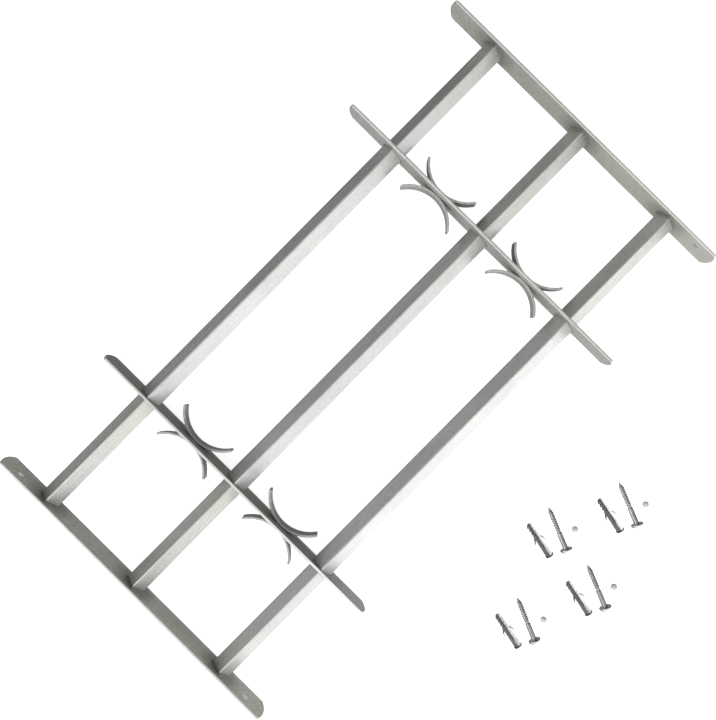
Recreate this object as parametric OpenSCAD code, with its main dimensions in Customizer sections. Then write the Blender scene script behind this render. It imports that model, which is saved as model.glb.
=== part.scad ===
// Telescoping window security grille, lying on its back with its four loose fixing sets beside it.
// X runs along the tubes, Y along the flat bars (the grille's height), Z from the back to the front.
// The origin is the centre of the grille in the plane that it lies on.

/* [Overall] */
// Height of the grille: length of every flat bar
grille_h = 450; // [430:5:600]
// Width between the outer faces of the end plates, as it lies
span = 790; // [710:5:1000]
// Smallest width, where the inner tubes meet in the middle
span_min = 700; // [690:5:705]
// Distance between the tubes
tube_pitch = 149; // [145:1:165]

/* [Flat bars] */
// Thickness of every flat bar
flat_t = 4; // [3:0.5:6]
// Depth of every flat bar, from back to front
flat_depth = 40; // [38:1:50]
// Radius of the arc across each end of the flat bars
flat_end_r = 42; // [30:1:60]
// Width between the outer faces of the two decorative bars
bars_w = 433; // [420:1:440]
// Distance of the tubes from the middle of a decorative bar's depth
bar_shift = 3; // [0:0.5:4]

/* [Wall fixing holes] */
// Diameter of the holes in the end plates
fix_hole_d = 8; // [5:0.5:9]
// Distance between the two holes in a plate
fix_hole_pitch = 390; // [360:5:400]
// Distance of the holes from the plate's front edge
fix_hole_inset = 14; // [10:0.5:20]

/* [Tubes] */
// Width of the outer square tubes
outer_w = 22; // [22:0.5:24]
// Wall of the outer tubes
outer_wall = 0.8; // [0.6:0.1:1]
// Outside corner radius of the outer tubes
outer_corner_r = 2; // [1.8:0.1:3]
// Width of the inner square tubes
inner_w = 20; // [18:0.5:20]
// Wall of the inner tubes
inner_wall = 1; // [0.8:0.1:2]
// Outside corner radius of the inner tubes
inner_corner_r = 1.5; // [1.5:0.1:2]
// Gap between the ends of the inner tubes when the grille is pushed together
inner_end_gap = 2; // [1:0.5:10]
// How far an outer tube stands out of the decorative bars
outer_stick_out = 1; // [0.5:0.5:3]
// Gap all round an outer tube in the decorative bars' holes
bar_hole_gap = 0.6; // [0.1:0.05:0.8]

/* [Scrolls] */
// Radius of a scroll's rounded back, which faces the bar
scroll_r = 50; // [46:1:56]
// Length of a scroll from tip to tip
scroll_chord = 83; // [60:1:88]
// Thickness of the scroll strip
scroll_t = 3; // [2:0.5:4]
// Depth of the scroll strip
scroll_depth = 18; // [12:1:24]
// Height of a scroll's back edge above the back edge of its bar
scroll_rise = 7; // [0:0.5:14]
// Distance of the scrolls from the middle of their bays, along Y
scroll_shift = -2.4; // [-4:0.1:4]
// Gap between a scroll and the bar that it is welded to
scroll_gap = 0.2; // [0.1:0.1:0.5]

/* [Welds] */
// Leg of the bead around a tube's end
bead_leg = 2.2; // [1.5:0.1:3]
// Length of a tack weld
tack_len = 9; // [5:1:12]
// Leg of a tack weld
tack_leg = 2; // [1:0.1:3]

/* [Security screws] */
// Outside diameter of the thread
thread_d = 7; // [6:0.5:7.5]
// Diameter of the thread's core
thread_core_d = 5; // [4:0.5:5.5]
// Distance between the thread's turns
thread_pitch = 3; // [2:0.5:3]
// Threaded length with its point
thread_len = 34; // [30:1:40]
// Length of the point
screw_point = 8; // [6:1:10]
// Diameter of the plain shank
shank_d = 6.6; // [5.5:0.1:7]
// Length from the point to the underside of the head
screw_len = 56; // [50:1:70]
// Diameter of the domed head
head_d = 16; // [14:0.5:18]
// Height of the domed head
head_h = 5; // [4.5:0.5:6]
// Width across the flats of the hexagon socket
hex_w = 4; // [3:0.5:5]

/* [Locking balls] */
// Diameter of the ball that closes a screw's head
ball_d = 8; // [6:0.5:9]

/* [Wall plugs] */
// Diameter of the plug's body
plug_d = 9.4; // [8:0.2:10]
// Diameter of the rim at the plug's mouth
plug_rim_d = 11; // [10:0.2:12]
// Thickness of that rim
plug_rim_t = 1.6; // [1:0.2:2]
// Length of the plug
plug_len = 48; // [45:1:60]
// Diameter of the bore at the mouth
plug_bore_d = 6; // [4:0.5:6.5]
// Number of barbs on the front of the plug
plug_barbs = 4; // [3:1:6]
// Depth of the gaps between the barbs
barb_depth = 2; // [0.8:0.1:2.4]
// Reach of the two anti-turn wings from the axis
wing_reach = 7.6; // [6:0.2:9]

/* [Hidden] */
$fn = 64;
// Margin by which a cutting shape passes the surface it cuts
cut = 1;
// Finer division of the large arcs
arc_fn = 360;
SIDES = ["left", "right"];
ROWS = ["top", "middle", "bottom"];
BAYS = ["upper", "lower"];
FACES = ["outer", "inner"];
SETS = [1, 2, 3, 4];
// Height of the tubes' axes: the lower decorative bar's back edge lies on the ground
tube_z = flat_depth / 2 + bar_shift;
// Inner tubes reach from the end plates to the middle of the pushed-together grille
inner_len = span_min / 2 - flat_t - inner_end_gap / 2;
outer_len = bars_w + 2 * outer_stick_out;
// Half angle of a scroll's arc
scroll_half = asin(scroll_chord / 2 / scroll_r);
head_top = screw_len + head_h;
// A screw lies on its head's rim and on the end of its point
screw_tilt = atan((head_d - thread_d) / 2 / (screw_len - screw_point));
screw_rise = thread_d / 2 * cos(screw_tilt) - screw_point * sin(screw_tilt);
screw_heading = -113.5;
plug_heading = -101.4;
// Where the fixing sets lie: the front end of each set's plug
SET_AT = [[90, -340], [5, -299], [-12, -385], [-104, -351]];
// From there to the screw's point and to the ball
screw_offset = [33.2, -3.1];
ball_offset = [36.5, -46.7];

// Direction of a side along X, height of a row of tubes and middle of a bay along Y
function side_dir(side) = side == "left" ? -1 : 1;
function row_y(row) = row == "top" ? tube_pitch : row == "bottom" ? -tube_pitch : 0;
function bay_y(bay) = bay == "upper" ? tube_pitch / 2 : -tube_pitch / 2;
// Back edge of a decorative bar: the right one is fitted the other way round
function bar_back(side) = tube_z - flat_depth / 2 + side_dir(side) * bar_shift;

module rounded_rect(w, h, r) {
    square([w, h - 2 * r], center = true);
    square([w - 2 * r, h], center = true);
    for (x = [-1, 1], y = [-1, 1])
        translate([x * (w / 2 - r), y * (h / 2 - r)])
            circle(r);
}

// Flat bar on edge: its broad face starts at X = 0, and its back edge is at Z = 0
module flat_bar() {
    reach = grille_h / 2 - flat_end_r;
    translate([0, 0, flat_depth / 2])
        rotate([90, 0, 90])
            linear_extrude(height = flat_t)
                intersection() {
                    square([grille_h, flat_depth], center = true);
                    union() {
                        square([2 * reach, flat_depth], center = true);
                        for (way = [-1, 1])
                            translate([way * reach, 0])
                                circle(flat_end_r, $fn = arc_fn);
                    }
                }
}

// Square tube standing on a corner, from X = 0 to X = length
module diamond_tube(length, w, wall, r) {
    rotate([45, 0, 0])
        rotate([90, 0, 90])
            linear_extrude(height = length)
                difference() {
                    rounded_rect(w, w, r);
                    rounded_rect(w - 2 * wall, w - 2 * wall, r - wall);
                }
}

module quarter_round(r) {
    intersection() {
        circle(r);
        square(r);
    }
}

// Weld bead around the foot of a square tube that stands on the XY plane
module ring_bead(w, r, leg) {
    for (turn = [0:90:270])
        rotate(turn) {
            translate([w / 2, w / 2 - r, 0])
                rotate([90, 0, 0])
                    linear_extrude(height = w - 2 * r)
                        quarter_round(leg);
            translate([w / 2 - r, w / 2 - r, 0])
                rotate_extrude(angle = 90)
                    translate([r, 0])
                        quarter_round(leg);
        }
}

// The end sections are modelled on the right and mirrored to the left
module on_side(side) {
    mirror([side_dir(side) < 0 ? 1 : 0, 0, 0])
        children();
}

module end_plate(side) {
    color("lightslategray")
        on_side(side)
            difference() {
                translate([span / 2 - flat_t, 0, tube_z - flat_depth / 2])
                    flat_bar();
                for (y = [-1, 1])
                    translate([span / 2, y * fix_hole_pitch / 2, tube_z + flat_depth / 2 - fix_hole_inset])
                        rotate([0, 90, 0])
                            cylinder(d = fix_hole_d, h = 4 * flat_t, center = true);
            }
}

module inner_tube(side, row) {
    color("gainsboro")
        on_side(side)
            translate([span / 2 - flat_t - inner_len, row_y(row), tube_z])
                diamond_tube(inner_len, inner_w, inner_wall, inner_corner_r);
}

module end_weld_beads(side) {
    color("dimgray")
        on_side(side)
            for (row = ROWS)
                translate([span / 2 - flat_t, row_y(row), tube_z])
                    rotate([45, 0, 0])
                        rotate([0, -90, 0])
                            ring_bead(inner_w, inner_corner_r, bead_leg);
}

module outer_tube(row) {
    color("silver")
        translate([-outer_len / 2, row_y(row), tube_z])
            diamond_tube(outer_len, outer_w, outer_wall, outer_corner_r);
}

module decorative_bar(side) {
    hole_w = outer_w + 2 * bar_hole_gap;
    color("darkgray")
        on_side(side)
            difference() {
                translate([bars_w / 2 - flat_t, 0, bar_back(side)])
                    flat_bar();
                for (row = ROWS)
                    translate([bars_w / 2, row_y(row), tube_z])
                        rotate([45, 0, 0])
                            cube([4 * flat_t, hole_w, hole_w], center = true);
            }
}

// Where a scroll stands: x is the face of the bar, dir the way the scroll reaches
module at_scroll(side, bay, face) {
    away = face == "outer" ? 1 : -1;
    face_x = face == "outer" ? bars_w / 2 : bars_w / 2 - flat_t;
    on_side(side)
        translate([face_x, bay_y(bay) + scroll_shift, bar_back(side) + scroll_rise])
            mirror([away < 0 ? 1 : 0, 0, 0])
                children();
}

// C-shaped strip with its rounded back towards the bar
module scroll(side, bay, face) {
    color("gray")
        at_scroll(side, bay, face)
            translate([scroll_gap + scroll_r, 0, 0])
                rotate(180 - scroll_half)
                    rotate_extrude(angle = 2 * scroll_half, $fn = arc_fn)
                        translate([scroll_r - scroll_t, 0])
                            square([scroll_t, scroll_depth]);
}

// Small tacks in the wedge between a scroll and its bar, low down where they don't show from the front
module scroll_tacks(side, bay, face) {
    tack_from = 4.5;
    tack_rise = 1;
    at_scroll(side, bay, face)
        for (way = [0, 1])
            mirror([0, way, 0])
                translate([0, 0, tack_rise])
                    linear_extrude(height = tack_len)
                        difference() {
                            translate([0, tack_from])
                                square([tack_leg, tack_leg * 2]);
                            translate([scroll_gap + scroll_r, 0])
                                circle(scroll_r, $fn = arc_fn);
                        }
}

module scroll_tack_welds() {
    color("dimgray")
        for (side = SIDES, bay = BAYS, face = FACES)
            scroll_tacks(side, bay, face);
}

// Tacks under the tubes, on the decorative bars' inner faces
module tube_tack_welds() {
    color("dimgray")
        for (side = SIDES, row = ROWS)
            on_side(side)
                translate([bars_w / 2 - flat_t, row_y(row), tube_z])
                    for (turn = [180, 270])
                        rotate([45 + turn, 0, 0])
                            translate([0, outer_w / 2, -tack_len / 2])
                                mirror([1, 0, 0])
                                    linear_extrude(height = tack_len)
                                        quarter_round(tack_leg);
}

// Radius of the screw's core and of its thread at a distance s from the point
function core_r(s) = thread_core_d / 2 * min(1, s / screw_point);
function crest_r(s) = thread_d / 2 * min(1, s / screw_point);
// One turn of the thread, drawn as a ridge
function ridge(s) = [
    [core_r(s + 0.3 * thread_pitch), s + 0.3 * thread_pitch],
    [crest_r(s + 0.5 * thread_pitch), s + 0.5 * thread_pitch],
    [core_r(s + 0.7 * thread_pitch), s + 0.7 * thread_pitch]
];
// Points of the domed head, from its rim to the seat for the ball
seat_r = ball_d / 2 + 0.1;
seat_depth = 0.45 * ball_d;
function dome(turn) = [
    seat_r + (head_d / 2 - seat_r) * cos(turn),
    screw_len + 1 + (head_h - 1) * sin(turn)
];

module screw_body() {
    turns = floor((thread_len - thread_pitch) / thread_pitch);
    difference() {
        rotate_extrude()
            polygon(concat(
                [[0, 0]],
                [for (i = [0:turns - 1]) each ridge((i + 0.5) * thread_pitch)],
                [[thread_core_d / 2, thread_len], [shank_d / 2, thread_len + 1]],
                [[shank_d / 2, screw_len], [head_d / 2, screw_len]],
                [for (turn = [0:15:90]) dome(turn)],
                [[seat_r, head_top - seat_depth], [0, head_top - seat_depth - 1]]
            ));
        translate([0, 0, head_top - seat_depth - 2])
            cylinder(d = hex_w / cos(30), h = seat_depth, $fn = 6);
    }
}

module security_screw(n) {
    place = SET_AT[n - 1] + screw_offset;
    color("slategray")
        translate([place[0], place[1], screw_rise])
            rotate(screw_heading)
                rotate([0, 90 - screw_tilt, 0])
                    screw_body();
}

// Saw-tooth barbs on the front of the plug
barb_zone = 0.4 * plug_len;
barb_len = barb_zone / plug_barbs;
wing_from = barb_zone;
wing_t = 1.6;
slot_w = 1.2;

module plug_shell() {
    rotate_extrude()
        polygon(concat(
            [[plug_bore_d / 4, 0]],
            [for (i = [0:plug_barbs - 1]) each [
                [plug_d / 2 - barb_depth, i * barb_len],
                [plug_d / 2 - barb_depth, (i + 0.2) * barb_len],
                [plug_d / 2, (i + 0.85) * barb_len]
            ]],
            [[plug_d / 2 - 0.4, barb_zone], [plug_d / 2 - 0.4, wing_from + 2]],
            [[plug_d / 2, plug_len - 6], [plug_d / 2, plug_len - plug_rim_t - 0.2]],
            [[plug_rim_d / 2, plug_len - plug_rim_t], [plug_rim_d / 2, plug_len]],
            [[plug_bore_d / 2, plug_len]]
        ));
}

// Wing that springs out from the side of the plug, with its tip towards the mouth
module plug_wing() {
    root = plug_d / 2 - 1.2;
    rotate([90, 0, 90])
        linear_extrude(height = wing_t, center = true)
            polygon([
                [root, wing_from],
                [wing_reach, wing_from + 7.5],
                [wing_reach, wing_from + 9],
                [wing_reach - 1, wing_from + 9],
                [root, wing_from + 3]
            ]);
}

module wall_plug(n) {
    place = SET_AT[n - 1];
    color("lightgray")
        translate([place[0], place[1], plug_rim_d / 2])
            rotate(plug_heading)
                rotate([0, 90, 0]) {
                    difference() {
                        plug_shell();
                        translate([0, 0, plug_len * 0.36 - cut])
                            cube([plug_d + 2 * cut, slot_w, plug_len * 0.72 + 2 * cut], center = true);
                    }
                    plug_wing();
                    mirror([0, 1, 0])
                        plug_wing();
                }
}

module locking_ball(n) {
    place = SET_AT[n - 1] + ball_offset;
    color("whitesmoke")
        translate([place[0], place[1], ball_d / 2])
            sphere(d = ball_d);
}

for (side = SIDES) {
    end_plate(side);
    decorative_bar(side);
    end_weld_beads(side);
}
for (side = SIDES, row = ROWS)
    inner_tube(side, row);
for (row = ROWS)
    outer_tube(row);
for (side = SIDES, bay = BAYS, face = FACES)
    scroll(side, bay, face);
tube_tack_welds();
scroll_tack_welds();
for (n = SETS) {
    security_screw(n);
    wall_plug(n);
    locking_ball(n);
}
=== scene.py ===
import math

import bmesh
import bpy
from mathutils import Matrix, Vector, noise


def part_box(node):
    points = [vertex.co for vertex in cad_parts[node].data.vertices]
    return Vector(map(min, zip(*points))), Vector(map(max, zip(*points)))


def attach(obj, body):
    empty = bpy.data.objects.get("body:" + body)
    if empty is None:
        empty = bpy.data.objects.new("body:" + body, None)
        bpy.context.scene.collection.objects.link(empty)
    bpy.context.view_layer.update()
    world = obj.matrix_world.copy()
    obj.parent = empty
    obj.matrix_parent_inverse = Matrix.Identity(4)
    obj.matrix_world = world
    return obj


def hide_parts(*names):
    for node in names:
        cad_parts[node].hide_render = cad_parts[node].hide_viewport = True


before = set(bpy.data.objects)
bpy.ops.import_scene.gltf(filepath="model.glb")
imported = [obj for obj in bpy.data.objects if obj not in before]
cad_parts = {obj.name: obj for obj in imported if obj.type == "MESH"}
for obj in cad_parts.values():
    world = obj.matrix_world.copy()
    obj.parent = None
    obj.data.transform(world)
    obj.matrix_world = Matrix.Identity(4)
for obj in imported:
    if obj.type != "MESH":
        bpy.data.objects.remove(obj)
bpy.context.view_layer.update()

# ---------------------------------------------------------------- sizes, in metres
MM = 0.001
SIDES = ("left", "right")
ROWS = ("top", "middle", "bottom")
BAYS = ("upper", "lower")
FACES = ("outer", "inner")
SETS = (1, 2, 3, 4)

FLAT_END_R = 42 * MM
FLAT_CORNER = 3 * MM
FLAT_EDGE = 1.1 * MM
FIX_HOLE_R = 4 * MM
FIX_HOLE_PITCH = 390 * MM
FIX_HOLE_INSET = 14 * MM
BAR_HOLE_W = 23.2 * MM
BAR_HOLE_CORNER = 0.4 * MM
HOLE_EDGE = 0.4 * MM

OUTER_TUBE = {"w": 22 * MM, "wall": 0.8 * MM, "corner": 2.0 * MM}
INNER_TUBE = {"w": 20 * MM, "wall": 1.0 * MM, "corner": 1.5 * MM}

SCROLL_R = 50 * MM
SCROLL_T = 3 * MM
SCROLL_HALF_CHORD = 41.5 * MM
SCROLL_EDGE = 0.5 * MM
SCROLL_GAP = 0.2 * MM       # between a scroll's back and its bar

BEAD_LEG = 2.2 * MM
BEAD_STEPS = 4 * 84
BEAD_ANGLES = [math.radians(a) for a in range(0, 91, 15)]
BEAD_SAG = 0.10             # how far a bead's face falls short of a full quarter round
TACK_LEG = 2.0 * MM
TACK_LEN = 9 * MM
TACK_STEPS = 30
RIPPLE = 1.3 * MM
DRIFT_SCALE = 220           # noise cells in a metre of bead
SCROLL_TACK_NEAR = 4.5 * MM  # from the line where a scroll meets its bar
SCROLL_TACK_FAR = 8.0 * MM
SCROLL_TACK_DROP = 1 * MM
SCROLL_TACK_BULGE = 0.25 * MM
SCROLL_TACK_STEPS = 24

THREAD_R = 3.5 * MM
CORE_R = 2.5 * MM
THREAD_PITCH = 3 * MM
THREAD_LEN = 34 * MM
THREAD_STEP = 0.2 * MM      # between the rings of the thread's mesh
THREAD_TIP = 0.7 * MM       # keeps the point from being a needle
RIDGE_HALF_WIDTH = 0.24     # of a turn
RIDGE_FLAT = 1.35           # above 1, the ridge's crest is flat
SCREW_POINT = 8 * MM
SHANK_R = 3.3 * MM
SCREW_LEN = 56 * MM
HEAD_R = 8 * MM
HEAD_H = 5 * MM
HEAD_RIM = 1 * MM           # height of the straight edge under the dome
SEAT_R = 4.1 * MM
SEAT_DEPTH = 3.6 * MM
HEX_W = 4 * MM
SCREW_HEADING = math.radians(-113.5)
SCREW_TILT = math.atan((HEAD_R - THREAD_R) / (SCREW_LEN - SCREW_POINT))

BALL_R = 4 * MM
BALL_STEPS = 36

PLUG_R = 4.7 * MM
PLUG_RIM_R = 5.5 * MM
PLUG_RIM_T = 1.6 * MM
PLUG_LEN = 48 * MM
PLUG_BORE_R = 3.0 * MM
PLUG_BARBS = 4
PLUG_BARB_ZONE = 0.4 * PLUG_LEN
PLUG_BARB_DEPTH = 2 * MM
PLUG_SLOT = 1.2 * MM
PLUG_SLOT_END = 0.72 * PLUG_LEN
PLUG_GROOVE = 2.0 * MM      # the slot's floor, from the plug's axis
PLUG_HEADING = math.radians(-101.4)
WING_ROOT = Vector((3.4 * MM, 19.5 * MM))   # from the plug's axis, from its tip
WING_TIP = Vector((7.2 * MM, 27.8 * MM))
WING_BOW = 0.8 * MM
WING_STEPS = 8

FLOOR_HALF = 6.0
FLOOR_GAP = 0.2 * MM
BACKDROP_R = 5.5
WELD_DISTANCE = 1e-7
EDGE_FACING = 0.6           # how squarely a face looks along an edge axis to count as a narrow edge


def middle(node):
    """Centre of a CAD node's box."""
    low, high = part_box(node)
    return (low + high) / 2


# ---------------------------------------------------------------- node materials
def new_material(name):
    material = bpy.data.materials.new(name)
    material.use_nodes = True
    nodes = material.node_tree.nodes
    nodes.clear()
    output = nodes.new("ShaderNodeOutputMaterial")
    shader = nodes.new("ShaderNodeBsdfPrincipled")
    material.node_tree.links.new(shader.outputs["BSDF"], output.inputs["Surface"])
    return material, shader


class Graph:
    """Short calls for the node kinds that the materials use."""

    def __init__(self, material):
        self.nodes = material.node_tree.nodes
        self.links = material.node_tree.links

    def link(self, source, target):
        self.links.new(source, target)

    def coords(self, scale):
        """Object coordinates, stretched by scale."""
        where = self.nodes.new("ShaderNodeTexCoord")
        mapping = self.nodes.new("ShaderNodeMapping")
        mapping.inputs["Scale"].default_value = scale
        self.link(where.outputs["Object"], mapping.inputs["Vector"])
        return mapping.outputs["Vector"]

    def noise(self, scale, detail=4.0, roughness=0.55, stretch=(1, 1, 1)):
        texture = self.nodes.new("ShaderNodeTexNoise")
        texture.inputs["Scale"].default_value = scale
        texture.inputs["Detail"].default_value = detail
        texture.inputs["Roughness"].default_value = roughness
        self.link(self.coords(stretch), texture.inputs["Vector"])
        return texture.outputs["Fac"]

    def spangle(self, scale, stretch=(1, 1, 1)):
        """Random tone of each cell, as in a zinc coating's crystals."""
        texture = self.nodes.new("ShaderNodeTexVoronoi")
        texture.inputs["Scale"].default_value = scale
        texture.inputs["Randomness"].default_value = 1.0
        self.link(self.coords(stretch), texture.inputs["Vector"])
        split = self.nodes.new("ShaderNodeSeparateColor")
        self.link(texture.outputs["Color"], split.inputs["Color"])
        return split.outputs["Red"]

    def remap(self, value, low, high, from_low=0.3, from_high=0.7):
        node = self.nodes.new("ShaderNodeMapRange")
        node.inputs["From Min"].default_value = from_low
        node.inputs["From Max"].default_value = from_high
        node.inputs["To Min"].default_value = low
        node.inputs["To Max"].default_value = high
        self.link(value, node.inputs["Value"])
        return node.outputs["Result"]

    def math(self, operation, a, b):
        node = self.nodes.new("ShaderNodeMath")
        node.operation = operation
        for socket, value in zip(node.inputs, (a, b)):
            if isinstance(value, (int, float)):
                socket.default_value = value
            else:
                self.link(value, socket)
        return node.outputs["Value"]

    def mix(self, factor, low, high):
        """A colour between low and high; each is a colour tuple or a socket."""
        node = self.nodes.new("ShaderNodeMix")
        node.data_type = "RGBA"
        self.link(factor, node.inputs["Factor"])
        for socket, value in ((node.inputs[6], low), (node.inputs[7], high)):
            if isinstance(value, tuple):
                socket.default_value = (*value, 1.0)
            else:
                self.link(value, socket)
        return node.outputs[2]

    def bump(self, height, strength, distance, under=None):
        node = self.nodes.new("ShaderNodeBump")
        node.inputs["Strength"].default_value = strength
        node.inputs["Distance"].default_value = distance
        self.link(height, node.inputs["Height"])
        if under is not None:
            self.link(under, node.inputs["Normal"])
        return node.outputs["Normal"]

    def place(self, axis):
        """The object coordinate along one axis."""
        where = self.nodes.new("ShaderNodeTexCoord")
        split = self.nodes.new("ShaderNodeSeparateXYZ")
        self.link(where.outputs["Object"], split.inputs["Vector"])
        return split.outputs[axis]

    def feet_shade_and_tint(self):
        """Share of painted shade around the foot of each tube on an end plate, where the tube meets
        the plate, together with weld heat tint.
        """
        pitch = middle("outer_tube_top").y - middle("outer_tube_middle").y
        nearest = self.nodes.new("ShaderNodeMath")
        nearest.operation = "WRAP"
        self.link(self.place("Y"), nearest.inputs[0])
        nearest.inputs[1].default_value = pitch / 2
        nearest.inputs[2].default_value = -pitch / 2
        rise = self.math("SUBTRACT", self.place("Z"), middle("outer_tube_middle").z)
        along = nearest.outputs["Value"]
        along_squared = self.math("MULTIPLY", along, along)
        rise_squared = self.math("MULTIPLY", rise, rise)
        away = self.math("SQRT", self.math("ADD", along_squared, rise_squared), 0.0)
        uneven = self.math("ADD", away, self.math("MULTIPLY", self.noise(160.0, 3.0), 0.012))
        return self.remap(uneven, 0.75, 0.0, 0.018, 0.042)

    def pointiness(self):
        return self.nodes.new("ShaderNodeNewGeometry").outputs["Pointiness"]


OLIVE_TINT = (1.00, 1.03, 0.86)
BLUE_TINT = (0.92, 0.99, 1.00)
# colour of the painted shade around the tubes' feet, with weld heat tint
FEET_SHADE_AND_TINT = (0.17, 0.165, 0.145)
# colour of the painted light towards the -Y ends, where light falls past the lowest tube
LIT_END_TONE = (1.0, 1.0, 0.98)


def tinted(dark, light, tint):
    """The tone halfway between two colours, times a tint."""
    return tuple((low + high) / 2 * t for low, high, t in zip(dark, light, tint))


def zinc(name, dark, light, grain_axis, rough=(0.42, 0.56), grain=0.25, olive=0.0, highlight_share=0.5,
         metallic=1.0, shade_and_tint_feet=False, pale=None):
    """Zinc-coated steel: clouds and spangle, drawing grain along one axis, a painted highlight on
    sharp edges.

    olive is how strongly yellow-green patches show, and worn how strongly sharp edges get a painted
    highlight.
    metallic below 1 makes the coating a little chalky. scorch darkens it around the tubes' feet:
    painted shade where the tube meets the plate, with weld heat tint.
    pale is how much painted light brightens it towards the -Y end, from which place along Y, and the
    place where that is full.
    """
    material, shader = new_material(name)
    g = Graph(material)
    along = [1.0 if axis == grain_axis else 40.0 for axis in "xyz"]
    clouds = g.noise(18.0, 3.0)
    mottle = g.noise(260.0, 4.0, 0.65)
    crystals = g.spangle(300.0)
    streaks = g.noise(12.0, 5.0, 0.65, along)
    tone = g.math("ADD", g.math("MULTIPLY", g.remap(clouds, 0.0, 1.0), 0.30),
                  g.math("MULTIPLY", g.remap(mottle, 0.0, 1.0, 0.38, 0.62), 0.38))
    tone = g.math("ADD", tone, g.math("MULTIPLY", crystals, 0.12))
    tone = g.math("ADD", tone, g.math("MULTIPLY", g.remap(streaks, 0.0, 1.0, 0.36, 0.64), grain))
    colour = g.mix(tone, dark, light)
    patches = g.noise(11.0, 3.0, 0.5)
    colour = g.mix(g.remap(patches, 0.0, olive, 0.46, 0.66), colour, tinted(dark, light, OLIVE_TINT))
    colour = g.mix(g.remap(patches, 0.35, 0.0, 0.34, 0.48), colour, tinted(dark, light, BLUE_TINT))
    # painted shade around each tube's foot on the end plates, with weld heat tint
    if shade_and_tint_feet:
        colour = g.mix(g.feet_shade_and_tint(), colour, FEET_SHADE_AND_TINT)
    # painted light: lighter towards the -Y end, where light falls past the lowest tube
    if pale:
        amount, start, end = pale
        colour = g.mix(g.remap(g.place("Y"), 0.0, amount, start, end), colour, LIT_END_TONE)
    # painted highlight: sharp convex edges lightened by pointiness
    edge_highlight_tone = tuple(min(1.0, c * 1.25) for c in light)
    colour = g.mix(g.remap(g.pointiness(), 0.0, highlight_share, 0.52, 0.60), colour, edge_highlight_tone)
    g.link(colour, shader.inputs["Base Color"])
    scratches = g.math("ADD", g.math("MULTIPLY", streaks, 0.6), g.math("MULTIPLY", mottle, 0.4))
    g.link(g.remap(scratches, *rough), shader.inputs["Roughness"])
    fine = g.bump(streaks, 0.12, 0.0003)
    g.link(g.bump(mottle, 0.12, 0.0004, fine), shader.inputs["Normal"])
    shader.inputs["Metallic"].default_value = metallic
    return material


def weld_metal(name, dark, light):
    """Weld metal under zinc, from tone dark to tone light, with heat-tinted and sooty patches."""
    material, shader = new_material(name)
    g = Graph(material)
    soot = g.noise(300.0, 4.0, 0.6)
    heat = g.noise(90.0, 2.0)
    colour = g.mix(g.remap(soot, 0.0, 1.0), (dark, dark, dark * 0.97), (light, light, light * 0.97))
    colour = g.mix(g.remap(heat, 0.0, 0.5), colour, (light * 0.8, light * 0.74, light * 0.62))
    g.link(colour, shader.inputs["Base Color"])
    g.link(g.remap(soot, 0.45, 0.7), shader.inputs["Roughness"])
    g.link(g.bump(soot, 0.25, 0.0004), shader.inputs["Normal"])
    shader.inputs["Metallic"].default_value = 1.0
    return material


def hole_zinc(name):
    """Walls of drilled and punched holes: dull zinc with tool marks around the hole."""
    material, shader = new_material(name)
    g = Graph(material)
    rings = g.noise(60.0, 3.0, 0.5, (30, 1, 1))
    colour = g.mix(g.remap(rings, 0.0, 1.0), (0.40, 0.40, 0.385), (0.60, 0.60, 0.58))
    g.link(colour, shader.inputs["Base Color"])
    g.link(g.remap(rings, 0.5, 0.7), shader.inputs["Roughness"])
    g.link(g.bump(rings, 0.2, 0.0002), shader.inputs["Normal"])
    shader.inputs["Metallic"].default_value = 0.4
    return material


def nylon(name, low, high):
    """Moulded nylon with a faint mould texture."""
    material, shader = new_material(name)
    g = Graph(material)
    cloud = g.noise(120.0, 3.0)
    speck = g.noise(1500.0, 2.0)
    colour = g.mix(g.remap(cloud, 0.0, 1.0), (low, low, low * 0.98), (high, high, high * 0.98))
    # painted highlight: sharp convex edges lightened by pointiness
    nylon_edge_highlight = g.remap(g.pointiness(), 0.0, 0.5, 0.52, 0.62)
    g.link(g.mix(nylon_edge_highlight, colour, (high * 1.2, high * 1.2, high * 1.18)), shader.inputs["Base Color"])
    g.link(g.remap(speck, 0.40, 0.55), shader.inputs["Roughness"])
    g.link(g.bump(speck, 0.12, 0.0002), shader.inputs["Normal"])
    return material


def ball_steel(name):
    """Satin-ground steel with faint scuffs."""
    material, shader = new_material(name)
    g = Graph(material)
    cloud = g.noise(400.0, 3.0)
    scuff = g.noise(900.0, 4.0, 0.7, (1, 8, 1))
    colour = g.mix(g.remap(cloud, 0.0, 1.0), (0.80, 0.80, 0.80), (0.92, 0.92, 0.92))
    g.link(colour, shader.inputs["Base Color"])
    g.link(g.remap(scuff, 0.82, 0.94), shader.inputs["Roughness"])
    g.link(g.bump(scuff, 0.05, 0.0001), shader.inputs["Normal"])
    shader.inputs["Metallic"].default_value = 1.0
    return material


FLAT_ROUGH = (0.48, 0.62)
EDGE_ROUGH = (0.46, 0.60)
PLATE_ROUGH = (0.50, 0.64)
TUBE_ROUGH = (0.36, 0.50)

# Lit and shaded copies of one zinc: the two plates' tones differ to paint the light each inner face
# gets. Both get painted shade around the tubes' feet, and the right one painted light towards its -Y
# end.
PLATE_ZINC = {
    "left": zinc("left_plate_zinc", (0.36, 0.365, 0.34), (0.74, 0.745, 0.70), "y", PLATE_ROUGH,
                 olive=0.5, metallic=0.75, shade_and_tint_feet=True),
    "right": zinc("right_plate_zinc", (0.335, 0.335, 0.300), (0.59, 0.59, 0.53), "y", PLATE_ROUGH,
                  olive=0.55, metallic=0.75, shade_and_tint_feet=True, pale=(0.12, 0.05, -0.20))}
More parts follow.
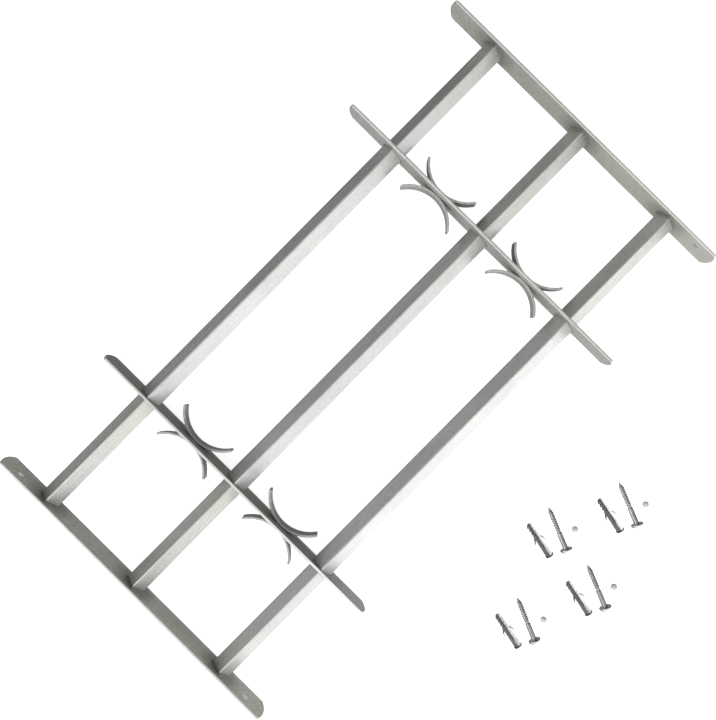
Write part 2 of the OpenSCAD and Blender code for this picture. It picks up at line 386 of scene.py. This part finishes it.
# Lit and shaded copies of one zinc: the left one is darker, painted shade on the left bar's inner
# face, and gets painted light towards its -Y end.
BAR_ZINC = {
    "left": zinc("left_bar_zinc", (0.20, 0.20, 0.19), (0.38, 0.38, 0.365), "y", FLAT_ROUGH,
                 olive=0.3, metallic=0.75, pale=(0.26, -0.15, -0.19)),
    "right": zinc("right_bar_zinc", (0.335, 0.335, 0.320), (0.57, 0.57, 0.55), "y", FLAT_ROUGH,
                  olive=0.3, metallic=0.75)}
# Lighter copies of the zinc for the narrow edges facing up: a painted highlight, stronger on the
# right. The right plate's and the left bar's edges also get painted light towards their -Y ends.
PLATE_EDGE_ZINC = {
    "left": zinc("left_plate_edge_zinc", (0.44, 0.44, 0.425), (0.69, 0.69, 0.67), "y", EDGE_ROUGH,
                 olive=0.15),
    "right": zinc("right_plate_edge_zinc", (0.60, 0.60, 0.57), (0.88, 0.88, 0.84), "y", EDGE_ROUGH,
                  olive=0.25, pale=(0.50, 0.0, -0.12))}
BAR_EDGE_ZINC = {
    "left": zinc("left_bar_edge_zinc", (0.44, 0.44, 0.43), (0.69, 0.69, 0.675), "y", EDGE_ROUGH,
                 olive=0.1, pale=(0.95, 0.10, -0.20)),
    "right": zinc("right_bar_edge_zinc", (0.58, 0.58, 0.565), (0.86, 0.86, 0.84), "y", EDGE_ROUGH,
                  olive=0.15)}
OUTER_ZINC = zinc("outer_tube_zinc", (0.47, 0.47, 0.465), (0.70, 0.70, 0.69), "x", TUBE_ROUGH,
                  grain=0.40, olive=0.08, highlight_share=0.15)
INNER_ZINC = zinc("inner_tube_zinc", (0.46, 0.465, 0.45), (0.70, 0.70, 0.685), "x", TUBE_ROUGH,
                  grain=0.35, olive=0.35, highlight_share=0.15)
# Lit and shaded copies of one zinc for the scrolls: the left ones painted darker, the right inner ones
# lighter, and the right outer ones nearly black, painted shade where the bar shades their faces. The
# edge copies are lighter, a painted highlight, most on the right.
LEFT_SCROLL_ZINC = zinc("left_scroll_zinc", (0.22, 0.22, 0.215), (0.46, 0.46, 0.445), "z", olive=0.2)
SCROLL_ZINC = {
    "left_outer": LEFT_SCROLL_ZINC,
    "left_inner": LEFT_SCROLL_ZINC,
    "right_inner": zinc("right_inner_scroll_zinc", (0.32, 0.32, 0.31), (0.64, 0.64, 0.625), "z",
                        olive=0.2),
    "right_outer": zinc("right_outer_scroll_zinc", (0.07, 0.07, 0.068), (0.26, 0.26, 0.255), "z",
                        olive=0.1)}
SCROLL_EDGE_ZINC = {
    "left": zinc("left_scroll_edge_zinc", (0.34, 0.34, 0.33), (0.66, 0.66, 0.645), "z"),
    "right": zinc("right_scroll_edge_zinc", (0.46, 0.46, 0.45), (0.80, 0.80, 0.78), "z")}
SCREW_ZINC = zinc("screw_zinc", (0.34, 0.34, 0.34), (0.56, 0.56, 0.555), "y", (0.16, 0.24))
# lighter copy of the screw zinc for the domes of the heads: a painted highlight
SCREW_HEAD_ZINC = zinc("screw_head_zinc", (0.66, 0.66, 0.655), (0.90, 0.90, 0.89), "y", (0.28, 0.38))
BEAD_WELD = weld_metal("bead_weld_metal", 0.14, 0.34)
# near-black weld for the tacks: weld metal, darkened as painted shade in the gaps where scrolls and
# tubes meet the bars
TACK_WELD = weld_metal("tack_weld_metal", 0.05, 0.20)
HOLE_ZINC = hole_zinc("hole_zinc")
PLUG_NYLON = nylon("plug_nylon", 0.07, 0.11)
# near-black nylon for the rim and the bore: painted shade at the plug's mouth
RIM_NYLON = nylon("plug_rim_nylon", 0.008, 0.014)
BALL_STEEL = ball_steel("ball_steel")


# ---------------------------------------------------------------- mesh tools
def rounded_rect(w, h, r, steps=6):
    """Outline of a rectangle with round corners, centred, anticlockwise."""
    points = []
    for k, (sx, sy) in enumerate(((1, 1), (-1, 1), (-1, -1), (1, -1))):
        for i in range(steps + 1):
            turn = math.radians(90 * (k + i / steps))
            points.append((sx * (w / 2 - r) + r * math.cos(turn),
                           sy * (h / 2 - r) + r * math.sin(turn)))
    return points


def bar_outline(w, h, inset, steps=14, corner_steps=4):
    """Outline, moved in by inset, of a flat bar whose ends are shallow arcs with round corners."""
    reach = w / 2 - FLAT_END_R
    end_r, half, corner = FLAT_END_R - inset, h / 2 - inset, FLAT_CORNER - inset
    corner_x = math.sqrt((end_r - corner) ** 2 - (half - corner) ** 2)
    limit = math.atan2(half - corner, corner_x)
    quarter = [(reach + end_r * math.cos(limit * i / steps), end_r * math.sin(limit * i / steps))
               for i in range(steps + 1)]
    for i in range(1, corner_steps + 1):
        turn = limit + (math.pi / 2 - limit) * i / corner_steps
        quarter.append((reach + corner_x + corner * math.cos(turn),
                        half - corner + corner * math.sin(turn)))
    right = [(a, -b) for a, b in reversed(quarter[1:])] + quarter
    return right + [(-a, -b) for a, b in right]


def circle(r, count=40):
    turns = [math.tau * i / count for i in range(count)]
    return [(r * math.cos(turn), r * math.sin(turn)) for turn in turns]


def turned(points, degrees):
    """The points turned about the origin, anticlockwise."""
    c, s = math.cos(math.radians(degrees)), math.sin(math.radians(degrees))
    return [(c * a - s * b, s * a + c * b) for a, b in points]


def edge_profile(low, high, radius, steps=4):
    """(place, inset) pairs from the face at low to the face at high, round over both edges."""
    turns = [math.radians(90 * i / steps) for i in range(steps + 1)]
    rounds = [(radius * (1 - math.cos(turn)), radius * (1 - math.sin(turn))) for turn in turns]
    return ([(low + d, inset) for d, inset in rounds]
            + [(high - d, inset) for d, inset in reversed(rounds)])


def add_ring(bm, points):
    return [bm.verts.new(p) for p in points]


def bridge(bm, one, two, paint=0):
    """Quads between two closed rings with the same number of points."""
    count = len(one)
    for i in range(count):
        j = (i + 1) % count
        bm.faces.new((one[i], one[j], two[j], two[i])).material_index = paint


def sweep(bm, rings, closed=False):
    """A skin through the rings: capped at both ends, or joined into a loop."""
    made = [add_ring(bm, ring) for ring in rings]
    for one, two in zip(made, made[1:]):
        bridge(bm, one, two)
    if closed:
        bridge(bm, made[-1], made[0])
    else:
        bm.faces.new(made[0])
        bm.faces.new(made[-1])


def add_object(name, bm):
    """A scene object with bm's mesh; bm is used up."""
    mesh = bpy.data.meshes.new(name)
    bm.to_mesh(mesh)
    bm.free()
    made = bpy.data.objects.new(name, mesh)
    bpy.context.scene.collection.objects.link(made)
    return made


def finish_piece(name, bm, materials, slot, body, *nodes, smooth=35, edge_axes=None):
    """Makes the piece from bm, shades it, and puts it on its body in place of the CAD nodes.

    edge_axes are the axes that the narrow edges of flat stock face: those faces get the last of
    the materials.
    """
    bmesh.ops.remove_doubles(bm, verts=bm.verts[:], dist=WELD_DISTANCE)
    bmesh.ops.recalc_face_normals(bm, faces=bm.faces[:])
    if edge_axes:
        for face in bm.faces:
            facing = math.hypot(*(face.normal[axis] for axis in edge_axes))
            if face.material_index == 0 and facing > EDGE_FACING:
                face.material_index = len(materials) - 1
    limit = math.radians(smooth)
    for face in bm.faces:
        face.smooth = True
    for edge in bm.edges:
        if len(edge.link_faces) == 2:
            edge.smooth = edge.calc_face_angle() < limit
    piece = add_object(name, bm)
    for material in materials:
        piece.data.materials.append(material)
    weigh = piece.modifiers.new("weighted_normals", "WEIGHTED_NORMAL")
    weigh.keep_sharp = True
    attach(piece, body)
    if nodes:
        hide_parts(*nodes)
    return piece


# ---------------------------------------------------------------- flat bars
def flat_bar(name, materials, slot, body, hole, hole_places):
    """Flat bar on edge with rounded arrises. hole(grow) is a hole's outline, in the plane of Y and Z.

    materials are those of the faces, the holes' walls and the narrow edges.
    """
    low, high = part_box(name)
    mid = (low + high) / 2
    w, h = high.y - low.y, high.z - low.z
    bm = bmesh.new()
    caps = ([], [])
    outlines = [((mid.y, mid.z), lambda inset: bar_outline(w, h, inset), FLAT_EDGE, 0)]
    outlines += [(place, hole, HOLE_EDGE, 1) for place in hole_places]
    for (y, z), outline, edge, paint in outlines:
        rings = [add_ring(bm, [(x, y + a, z + b) for a, b in outline(inset)])
                 for x, inset in edge_profile(low.x, high.x, edge)]
        for one, two in zip(rings, rings[1:]):
            bridge(bm, one, two, paint)
        caps[0].append(rings[0])
        caps[1].append(rings[-1])
    for cap in caps:
        edges = [bm.edges.get((ring[i], ring[(i + 1) % len(ring)]))
                 for ring in cap for i in range(len(ring))]
        bmesh.ops.triangle_fill(bm, use_beauty=True, use_dissolve=False, edges=edges)
    return finish_piece(name + "_steel", bm, materials, slot, body, name, smooth=50,
                        edge_axes=(1, 2))


def fixing_hole(inset):
    return circle(FIX_HOLE_R + 0.5 * inset)


def tube_hole(inset):
    side = BAR_HOLE_W + inset
    return turned(rounded_rect(side, side, BAR_HOLE_CORNER, 3), 45)


for side in SIDES:
    plate = side + "_end_plate"
    hole_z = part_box(plate)[1].z - FIX_HOLE_INSET
    flat_bar(plate, [PLATE_ZINC[side], HOLE_ZINC, PLATE_EDGE_ZINC[side]], "galvanised_plate",
             side + "_end_section", fixing_hole,
             [(sign * FIX_HOLE_PITCH / 2, hole_z) for sign in (-1, 1)])
    tubes = [middle("outer_tube_" + row) for row in ROWS]
    # the tube holes' walls take the near-black tack weld: painted shade in the gap around each tube
    flat_bar(side + "_decorative_bar", [BAR_ZINC[side], TACK_WELD, BAR_EDGE_ZINC[side]],
             "galvanised_bar", "centre_section", tube_hole, [(tube.y, tube.z) for tube in tubes])


# ---------------------------------------------------------------- tubes
def square_tube(name, size, material, slot, body):
    """Hollow square tube standing on a corner, with softened ends."""
    low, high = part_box(name)
    mid = (low + high) / 2
    lip = 0.3 * size["wall"]
    wall = size["wall"]
    profile = [(low.x + lip, 0), (high.x - lip, 0), (high.x, -lip), (high.x, lip - wall),
               (high.x - lip, -wall), (low.x + lip, -wall), (low.x, lip - wall), (low.x, -lip)]
    rings = []
    for x, grow in profile:
        side = size["w"] + 2 * grow
        ring = turned(rounded_rect(side, side, size["corner"] + grow, 8), 45)
        rings.append([(x, mid.y + a, mid.z + b) for a, b in ring])
    bm = bmesh.new()
    sweep(bm, rings, closed=True)
    return finish_piece(name + "_steel", bm, [material], slot, body, name, smooth=50)


for row in ROWS:
    square_tube("outer_tube_" + row, OUTER_TUBE, OUTER_ZINC, "galvanised_outer_tube", "centre_section")
    for side in SIDES:
        square_tube(f"{side}_inner_tube_{row}", INNER_TUBE, INNER_ZINC, "galvanised_inner_tube",
                    side + "_end_section")


# ---------------------------------------------------------------- scrolls
def scroll(name, reach):
    """C-shaped strip with softened edges. reach is 1 if its tips point along +X, else -1."""
    low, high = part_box(name)
    mid = (low + high) / 2
    depth = high.z - low.z
    back = low.x if reach > 0 else high.x
    centre_x = back + reach * SCROLL_R
    mid_r = SCROLL_R - SCROLL_T / 2
    half = math.asin(SCROLL_HALF_CHORD / SCROLL_R) * mid_r
    arc_steps = 48
    ends = edge_profile(-half, half, SCROLL_EDGE)
    arc = [(half * (2 * i / arc_steps - 1), 0) for i in range(1, arc_steps)]
    first = len(ends) // 2
    rings = []
    for s, inset in ends[:first] + arc + ends[first:]:
        turn = s / mid_r
        corner = max(SCROLL_EDGE - 0.5 * inset, 0.1 * MM)
        ring = rounded_rect(SCROLL_T - 2 * inset, depth - 2 * inset, corner, 4)
        rings.append([(centre_x - reach * (mid_r + a) * math.cos(turn),
                       mid.y + (mid_r + a) * math.sin(turn), mid.z + b) for a, b in ring])
    bm = bmesh.new()
    sweep(bm, rings)
    side, _, face, _ = name.split("_")
    return finish_piece(name + "_strip", bm, [SCROLL_ZINC[f"{side}_{face}"], SCROLL_EDGE_ZINC[side]],
                        "galvanised_scroll", "centre_section", name, smooth=50, edge_axes=(2,))


SCROLLS = [(f"{side}_{bay}_{face}_scroll", outward * away)
           for side, outward in zip(SIDES, (-1, 1)) for bay in BAYS
           for face, away in zip(FACES, (1, -1))]
for name, reach in SCROLLS:
    scroll(name, reach)


# ---------------------------------------------------------------- welds
def ripple_leg(leg, s, seed):
    """Size of a weld bead at a distance s along it: ripples and an unsteady hand.

    seed sets each bead's own wobble.
    """
    wave = 0.5 + 0.5 * math.cos(math.tau * s / RIPPLE)
    drift = noise.noise(Vector((s * DRIFT_SCALE, seed, 0.0)))
    return leg * (0.84 + 0.06 * wave + 0.10 * drift)


def bead_ring(bm, node_x, away, centre, size, seed):
    """Bead around the foot of a tube. away is the way along X that the bead faces."""
    w, r = size["w"], size["corner"]
    flat = w - 2 * r
    arc = r * math.pi / 2
    perimeter = 4 * (flat + arc)
    rings = []
    for i in range(BEAD_STEPS):
        s = perimeter * i / BEAD_STEPS
        leg = ripple_leg(BEAD_LEG, s, seed)
        quarter, local = divmod(s, flat + arc)
        if local < flat:
            foot = Vector((w / 2, -flat / 2 + local))
            out = Vector((1, 0))
        else:
            turn = (local - flat) / r
            out = Vector((math.cos(turn), math.sin(turn)))
            foot = Vector((w / 2 - r, flat / 2)) + r * out
        profile = [(-0.2 * MM, -0.2 * MM)]
        for a in BEAD_ANGLES:
            r_face = leg * (1 - BEAD_SAG * math.sin(2 * a))
            profile.append((r_face * math.cos(a), r_face * math.sin(a)))
        ring = []
        for across, rise in profile:
            p = foot + across * out
            y, z = turned([(p.x, p.y)], 45 + 90 * quarter)[0]
            ring.append((node_x + away * max(rise, 0.0), centre.y + y, centre.z + z))
        rings.append(ring)
    sweep(bm, rings, closed=True)


for side, away in zip(SIDES, (1, -1)):
    node = side + "_end_weld_beads"
    low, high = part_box(node)
    foot_x = low.x if away > 0 else high.x
    bm = bmesh.new()
    for k, row in enumerate(ROWS):
        bead_ring(bm, foot_x, away, middle(f"{side}_inner_tube_{row}"), INNER_TUBE, 3.0 * k + away)
    finish_piece(node + "_metal", bm, [BEAD_WELD], "weld_metal", side + "_end_section", node,
                 smooth=60)


def bead_swell(t, least):
    """Share of a short bead's full size at t of its length: it swells from both ends."""
    return max(least, math.sqrt(max(0.0, 1 - (2 * t - 1) ** 2)) ** 0.6)


def tack(bm, start, along, across, up, length, leg, seed):
    """Short bead from start: it runs along, and lies between the directions across and up."""
    rings = []
    for i in range(TACK_STEPS + 1):
        t = i / TACK_STEPS
        size = ripple_leg(leg, t * length, seed) * bead_swell(t, 0.12)
        root = start + along * (t * length)
        ring = [root] + [root + across * (size * math.cos(a)) + up * (size * math.sin(a))
                         for a in BEAD_ANGLES]
        rings.append([tuple(p) for p in ring])
    sweep(bm, rings)


bm = bmesh.new()
for side, inward in zip(SIDES, (1, -1)):
    low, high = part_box(side + "_decorative_bar")
    face_x = high.x if inward > 0 else low.x
    for k, row in enumerate(ROWS):
        centre = middle("outer_tube_" + row)
        for lean in (-1, 1):
            out = Vector((0, lean, -1)).normalized()
            along = Vector((0, lean, 1)).normalized()
            flank = Vector((face_x, centre.y, centre.z)) + out * (OUTER_TUBE["w"] / 2)
            tack(bm, flank - along * (TACK_LEN / 2), along, out, Vector((inward, 0, 0)), TACK_LEN,
                 TACK_LEG, 7.0 * k + lean)
finish_piece("tube_tack_weld_metal", bm, [TACK_WELD], "weld_metal", "centre_section",
             "tube_tack_welds", smooth=60)


def scroll_tack(bm, name, reach, way, seed):
    """Bead that fills the wedge between a scroll's back and its bar, on one side of its middle."""
    low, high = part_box(name)
    mid = (low + high) / 2
    face_x = (low.x if reach > 0 else high.x) - reach * SCROLL_GAP
    centre_x = face_x + reach * (SCROLL_R + SCROLL_GAP)
    near = SCROLL_TACK_NEAR
    top = low.z + SCROLL_TACK_DROP + TACK_LEN

    def back(y):
        return centre_x - reach * math.sqrt(SCROLL_R ** 2 - y ** 2)

    rings = []
    for i in range(SCROLL_TACK_STEPS + 1):
        t = i / SCROLL_TACK_STEPS
        swell = bead_swell(t, 0.15)
        far = near + ripple_leg(SCROLL_TACK_FAR - near, t * TACK_LEN, seed) * swell
        spots = [near + (far - near) * j / 4 for j in range(1, 5)]
        ring = [(face_x, near), (back(near), near)] + [(back(y), y) for y in spots]
        ring += [((back(far) + face_x) / 2, far + SCROLL_TACK_BULGE * swell), (face_x, far)]
        rings.append([(x, mid.y + way * y, top - TACK_LEN * t) for x, y in ring])
    sweep(bm, rings)


bm = bmesh.new()
for k, (name, reach) in enumerate(SCROLLS):
    for way in (-1, 1):
        scroll_tack(bm, name, reach, way, 5.0 * k + way)
finish_piece("scroll_tack_weld_metal", bm, [TACK_WELD], "weld_metal", "centre_section",
             "scroll_tack_welds", smooth=60)


# ---------------------------------------------------------------- loose fixings
def lay(bm, heading, tilt, node):
    """Lays a piece that was made along +Z on its side, and fits it into its CAD node's box."""
    turn = Matrix.Rotation(heading, 4, "Z") @ Matrix.Rotation(math.pi / 2 - tilt, 4, "Y")
    bmesh.ops.transform(bm, matrix=turn, verts=bm.verts[:])
    low = Vector([min(v.co[k] for v in bm.verts) for k in range(3)])
    high = Vector([max(v.co[k] for v in bm.verts) for k in range(3)])
    node_low, node_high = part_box(node)
    fits = [(node_high[k] - node_low[k]) / (high[k] - low[k]) for k in range(3)]
    shrink = min(1.0, *fits)
    bmesh.ops.translate(bm, vec=-(low + high) / 2, verts=bm.verts[:])
    bmesh.ops.scale(bm, vec=(shrink,) * 3, verts=bm.verts[:])
    bmesh.ops.translate(bm, vec=middle(node), verts=bm.verts[:])


def lathe(bm, rows, count=40, bright=(0, 0)):
    """A skin through rows, each a height and a radius, or a function from the turn to the radius.

    The skin between the two rows numbered in bright gets the second material.
    """
    rings = []
    for height, radius in rows:
        ring = []
        for i in range(count):
            turn = math.tau * i / count
            r = radius(turn) if callable(radius) else radius
            ring.append((r * math.cos(turn), r * math.sin(turn), height))
        rings.append(ring)
    made = [add_ring(bm, ring) for ring in rings]
    for k, (one, two) in enumerate(zip(made, made[1:])):
        bridge(bm, one, two, 1 if bright[0] <= k < bright[1] else 0)
    bm.faces.new(made[0])
    bm.faces.new(made[-1])


def thread_radius(s):
    """Radius around the screw at a distance s from its point: a helical ridge on a core."""
    taper = min(1.0, (s + THREAD_TIP) / SCREW_POINT)
    fade = min(1.0, max(0.0, (THREAD_LEN - s) / (1.5 * THREAD_PITCH)))

    def radius(turn):
        phase = (s / THREAD_PITCH - turn / math.tau) % 1.0
        ridge = max(0.0, 1 - abs(phase - 0.5) / RIDGE_HALF_WIDTH)
        ridge = min(1.0, RIDGE_FLAT * ridge)
        return taper * (CORE_R + (THREAD_R - CORE_R) * ridge * fade)

    return radius


def hexagon(width):
    """Radius of a hexagon's outline, a little rounded at its corners."""
    def radius(turn):
        away = (turn + math.pi / 6) % (math.pi / 3) - math.pi / 6
        return min(width / 2 / math.cos(away), 0.97 * width / 2 / math.cos(math.pi / 6))

    return radius


def security_screw(n):
    node = f"security_screw_{n}"
    count = int(THREAD_LEN / THREAD_STEP) + 1
    rows = [(i * THREAD_STEP, thread_radius(i * THREAD_STEP)) for i in range(count)]
    # shank, with a fillet under the head
    rows += [(THREAD_LEN + 1.2 * MM, SHANK_R - 0.15 * MM), (THREAD_LEN + 1.5 * MM, SHANK_R),
             (SCREW_LEN - 0.8 * MM, SHANK_R), (SCREW_LEN - 0.3 * MM, SHANK_R + 0.15 * MM),
             (SCREW_LEN, SHANK_R + 0.6 * MM)]
    # rim of the head
    rows += [(SCREW_LEN, HEAD_R - 0.5 * MM), (SCREW_LEN + 0.15 * MM, HEAD_R - 0.15 * MM),
             (SCREW_LEN + 0.5 * MM, HEAD_R), (SCREW_LEN + HEAD_RIM - 0.1 * MM, HEAD_R)]
    dome_from = len(rows)
    for a in (math.radians(degrees) for degrees in range(6, 85, 6)):
        rows.append((SCREW_LEN + HEAD_RIM + (HEAD_H - HEAD_RIM) * math.sin(a),
                     SEAT_R + (HEAD_R - SEAT_R) * math.cos(a)))
    top = SCREW_LEN + HEAD_H
    rows += [(top, SEAT_R + 0.15 * MM), (top - 0.05 * MM, SEAT_R + 0.02 * MM),
             (top - 0.3 * MM, SEAT_R)]
    dome_to = len(rows)
    # seat of the ball, and the hexagon under it
    floor = top - SEAT_DEPTH
    rows += [(floor + 0.3 * MM, SEAT_R), (floor, SEAT_R - 0.3 * MM),
             (floor - 0.2 * MM, HEX_W / 2 + 0.5 * MM),
             (floor - 0.3 * MM, hexagon(HEX_W + 0.2 * MM)), (floor - 0.5 * MM, hexagon(HEX_W)),
             (floor - 2.4 * MM, hexagon(HEX_W)), (floor - 3.0 * MM, 0.3 * MM)]
    bm = bmesh.new()
    # the dome takes the lighter head zinc, a painted highlight
    lathe(bm, rows, 48, (dome_from, dome_to))
    lay(bm, SCREW_HEADING, SCREW_TILT, node)
    finish_piece(node + "_steel", bm, [SCREW_ZINC, SCREW_HEAD_ZINC], "zinc_screw",
                 f"loose_screw_{n}", node, smooth=45)


def locking_ball(n):
    node = f"locking_ball_{n}"
    turns = [math.pi * i / BALL_STEPS for i in range(1, BALL_STEPS)]
    bm = bmesh.new()
    lathe(bm, [(-BALL_R * math.cos(turn), BALL_R * math.sin(turn)) for turn in turns], 56)
    lay(bm, 0.3 * n, 0.2 * n, node)
    finish_piece(node + "_steel", bm, [BALL_STEEL], "ball_steel", f"loose_ball_{n}", node, smooth=60)


def plug_ring(height, radius, groove):
    """Outline of the plug at one height, slotted from two opposite sides down to radius groove."""
    ring = []
    half_slot = PLUG_SLOT / 2
    edge = math.asin(half_slot / radius)
    steps = 14
    for flip in (1, -1):
        ring.append((flip * groove, flip * half_slot))
        for i in range(steps + 1):
            turn = edge + (math.pi - 2 * edge) * i / steps
            ring.append((flip * radius * math.cos(turn), flip * radius * math.sin(turn)))
        ring.append((-flip * groove, flip * half_slot))
    return [(a, b, height) for a, b in ring]


def plug_wing(bm, way):
    """Springy wing on the side of the plug: way is 1 or -1 along the plug's own Y axis."""
    rings = []
    for i in range(WING_STEPS + 1):
        t = i / WING_STEPS
        centre = WING_ROOT.lerp(WING_TIP, t) + Vector((1, 0)) * (WING_BOW * math.sin(math.pi * t))
        thick, wide = (2.4 - 1.6 * t) * MM, (2.0 - 0.6 * t) * MM
        ring = [(b, way * (centre.x + 0.9 * a), centre.y - 0.42 * a)
                for a, b in rounded_rect(thick, wide, 0.35 * MM, 3)]
        rings.append(ring)
    sweep(bm, rings)


def wall_plug(n):
    """Split plug: its slotted part, then the plain collar and rim, both made from the tip up."""
    node = f"wall_plug_{n}"
    low_r = PLUG_R - PLUG_BARB_DEPTH
    # (height, radius, radius of the slot's floor)
    slotted = [(2.0 * MM, 1.3 * MM, 1.0 * MM), (0.0, 1.5 * MM, 1.1 * MM),
               (0.0, low_r - 0.3 * MM, PLUG_GROOVE)]
    barb_len = PLUG_BARB_ZONE / PLUG_BARBS
    barb = [(0.02, low_r), (0.22, low_r), (0.34, PLUG_R - 0.9 * MM), (0.86, PLUG_R),
            (0.92, PLUG_R - 0.15 * MM)]
    slotted += [((i + share) * barb_len, radius, PLUG_GROOVE)
                for i in range(PLUG_BARBS) for share, radius in barb]
    slotted += [(PLUG_BARB_ZONE, low_r, PLUG_GROOVE),
                (PLUG_BARB_ZONE + 0.5 * MM, PLUG_R - 0.4 * MM, PLUG_GROOVE),
                (PLUG_SLOT_END, PLUG_R - 0.2 * MM, PLUG_GROOVE),
                (PLUG_SLOT_END, PLUG_R - 0.2 * MM, PLUG_R - 0.21 * MM)]
    rim = PLUG_LEN - PLUG_RIM_T
    plain = [(PLUG_LEN - 6 * MM, PLUG_R), (rim - 0.2 * MM, PLUG_R),
             (rim, PLUG_RIM_R - 0.15 * MM), (rim + 0.15 * MM, PLUG_RIM_R),
             (PLUG_LEN - 0.2 * MM, PLUG_RIM_R), (PLUG_LEN, PLUG_RIM_R - 0.2 * MM),
             (PLUG_LEN, PLUG_BORE_R + 0.4 * MM), (PLUG_LEN - 0.4 * MM, PLUG_BORE_R),
             (PLUG_LEN - 12 * MM, PLUG_BORE_R - 0.1 * MM), (PLUG_LEN - 12.5 * MM, 0.8 * MM)]
    # the rings from rim_from on, the rim and the bore, take the near-black nylon: painted shade at the
    # mouth
    rim_from = len(slotted) + 1
    rows = slotted + [(height, radius, radius - 0.01 * MM) for height, radius in plain]
    bm = bmesh.new()
    made = [add_ring(bm, plug_ring(*row)) for row in rows]
    for k, (one, two) in enumerate(zip(made, made[1:])):
        bridge(bm, one, two, 1 if k >= rim_from else 0)
    bm.faces.new(made[0])
    bm.faces.new(made[-1])
    for way in (1, -1):
        plug_wing(bm, way)
    lay(bm, PLUG_HEADING, 0.0, node)
    return finish_piece(node + "_nylon", bm, [PLUG_NYLON, RIM_NYLON], "plug_nylon",
                        f"loose_plug_{n}", node, smooth=40)


plugs = []
for n in SETS:
    security_screw(n)
    plugs.append(wall_plug(n))
    locking_ball(n)


# ---------------------------------------------------------------- floor, light and camera
def stage_piece(name, bm, base, glow):
    """Stage scenery, of a pale matt material that also glows; the metal doesn't reflect it."""
    piece = add_object(name, bm)
    material, shader = new_material(name)
    shader.inputs["Base Color"].default_value = (base, base, base, 1.0)
    shader.inputs["Roughness"].default_value = 0.9
    shader.inputs["Specular IOR Level"].default_value = 0.1
    shader.inputs["Emission Color"].default_value = (1.0, 1.0, 1.0, 1.0)
    shader.inputs["Emission Strength"].default_value = glow
    piece.visible_glossy = False
    piece.data.materials.append(material)
    return piece


def pale_floor():
    bm = bmesh.new()
    bmesh.ops.create_grid(bm, x_segments=1, y_segments=1, size=FLOOR_HALF)
    bmesh.ops.translate(bm, vec=(0, 0, -FLOOR_GAP), verts=bm.verts[:])
    stage_piece("pale_floor", bm, 0.92, 0.75)


def pale_backdrop():
    """A pale dome behind everything, which only the camera sees."""
    bm = bmesh.new()
    bmesh.ops.create_uvsphere(bm, u_segments=48, v_segments=24, radius=BACKDROP_R)
    dome = stage_piece("pale_backdrop", bm, 0.0, 1.0)
    dome.visible_diffuse = False
    dome.visible_transmission = False
    dome.visible_shadow = False


def area_light(name, place, target, size, power, glossy=True):
    """Rectangular lamp; when glossy is False, the metal doesn't reflect its shape."""
    data = bpy.data.lights.new(name, "AREA")
    data.shape = "RECTANGLE"
    data.size, data.size_y = size
    data.energy = power
    light = bpy.data.objects.new(name, data)
    bpy.context.scene.collection.objects.link(light)
    light.location = place
    light.rotation_euler = (Vector(target) - Vector(place)).to_track_quat("-Z", "Y").to_euler()
    light.visible_glossy = glossy
    return light


pale_floor()
pale_backdrop()
area_light("window_soft", (0.0, -1.7, 0.40), (0, 0, 0), (2.6, 0.3), 4)
area_light("left_strip", (-1.6, 0.35, 0.95), (0, -0.2, 0), (0.4, 1.6), 9)
area_light("low_window", (0.0, -1.3, 0.07), (0, 0, 0.02), (2.6, 0.12), 32, glossy=False)
plug_light = area_light("plug_light", (1.0, -0.55, 0.20), (0, -0.37, 0.01), (0.3, 0.3), 130,
                        glossy=False)
lit = bpy.data.collections.new("lit_by_plug_light")
for plug in plugs:
    lit.objects.link(plug)
plug_light.light_linking.receiver_collection = lit


def studio_world():
    """Soft light: bright above but for the camera's own shade, brightest beside the lowest tube."""
    world = bpy.data.worlds.new("studio")
    world.use_nodes = True
    g = Graph(world)
    background = g.nodes["Background"]
    where = g.nodes.new("ShaderNodeTexCoord")
    split = g.nodes.new("ShaderNodeSeparateXYZ")
    g.link(where.outputs["Generated"], split.inputs["Vector"])
    x, y, z = (split.outputs[axis] for axis in "XYZ")

    def times(a, b):
        return g.math("MULTIPLY", a, b)

    def positive(value):
        return g.math("MAXIMUM", value, 0.0)

    up, down = positive(z), positive(times(z, -1.0))
    above = times(times(up, 0.88), g.math("SUBTRACT", 1.0, g.math("POWER", up, 13.0)))
    dome = g.math("ADD", g.math("ADD", above, times(down, 0.20)), 0.27)
    across = g.math("ADD", times(x, 0.5), times(positive(g.math("SUBTRACT", x, 0.4)), 0.8))
    behind = times(positive(y), 0.2)
    dome = times(dome, g.math("SUBTRACT", g.math("SUBTRACT", 1.0, across), behind))
    side = times(g.math("POWER", positive(times(y, -1.0)), 4.0), 0.80)
    window = times(side, g.math("ADD", 1.0, g.math("ADD", times(down, 5.0), times(up, -0.5))))
    g.link(g.math("MAXIMUM", g.math("ADD", dome, window), 0.05), background.inputs["Strength"])
    background.inputs["Color"].default_value = (1.0, 1.0, 1.0, 1.0)
    return world


scene = bpy.context.scene
scene.world = studio_world()
scene.view_settings.view_transform = "Standard"

# Almost straight above the grille, rolled so that the tubes rise to the right at 45 degrees
camera_data = bpy.data.cameras.new("camera")
camera_data.lens = 35.07
camera_data.sensor_width = 36.0
camera_data.clip_start = 0.01
camera = bpy.data.objects.new("camera", camera_data)
scene.collection.objects.link(camera)
camera.location = (0.0029, -0.0036, 0.8906)
camera.rotation_euler = [math.radians(a) for a in (0.03, 0.24, -45.28)]
scene.camera = camera
